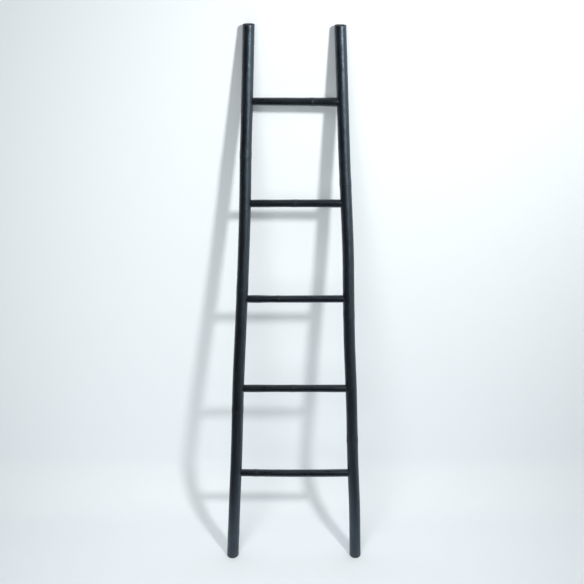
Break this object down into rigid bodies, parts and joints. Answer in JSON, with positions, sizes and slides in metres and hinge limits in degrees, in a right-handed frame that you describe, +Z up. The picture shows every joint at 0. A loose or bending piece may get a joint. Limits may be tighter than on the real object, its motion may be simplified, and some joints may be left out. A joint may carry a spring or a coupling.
{
  "type": "blanket ladder",
  "caption": "Leaning bamboo blanket ladder, stained near black: two hollow rails that draw in towards the top, joined by round rungs for hanging blankets and towels.",
  "frame": {"origin": "on the floor, under the middle of the ladder's overall box", "axes": "+Z up, +X to the right as seen from the front, +Y towards the wall that the ladder leans on"},
  "size_m": [0.5023, 0.3766, 1.87],
  "materials": {
    "rail_bamboo": "black stain under satin lacquer, thin grain and light wear",
    "rung_bamboo": "black stain under satin lacquer, duller than the rails",
    "peg_bamboo": "black stain soaked into bare bamboo, matt"
  },
  "bodies": {
    "root": {"rail_left": "rail_bamboo", "rail_right": "rail_bamboo", "rung_1": "rung_bamboo", "rung_2": "rung_bamboo", "rung_3": "rung_bamboo", "rung_4": "rung_bamboo", "rung_5": "rung_bamboo", "rung_1_peg_left": "peg_bamboo", "rung_1_peg_right": "peg_bamboo", "rung_2_peg_left": "peg_bamboo", "rung_2_peg_right": "peg_bamboo", "rung_3_peg_left": "peg_bamboo", "rung_3_peg_right": "peg_bamboo", "rung_4_peg_left": "peg_bamboo", "rung_4_peg_right": "peg_bamboo", "rung_5_peg_left": "peg_bamboo", "rung_5_peg_right": "peg_bamboo"}
  },
  "joints": []
}
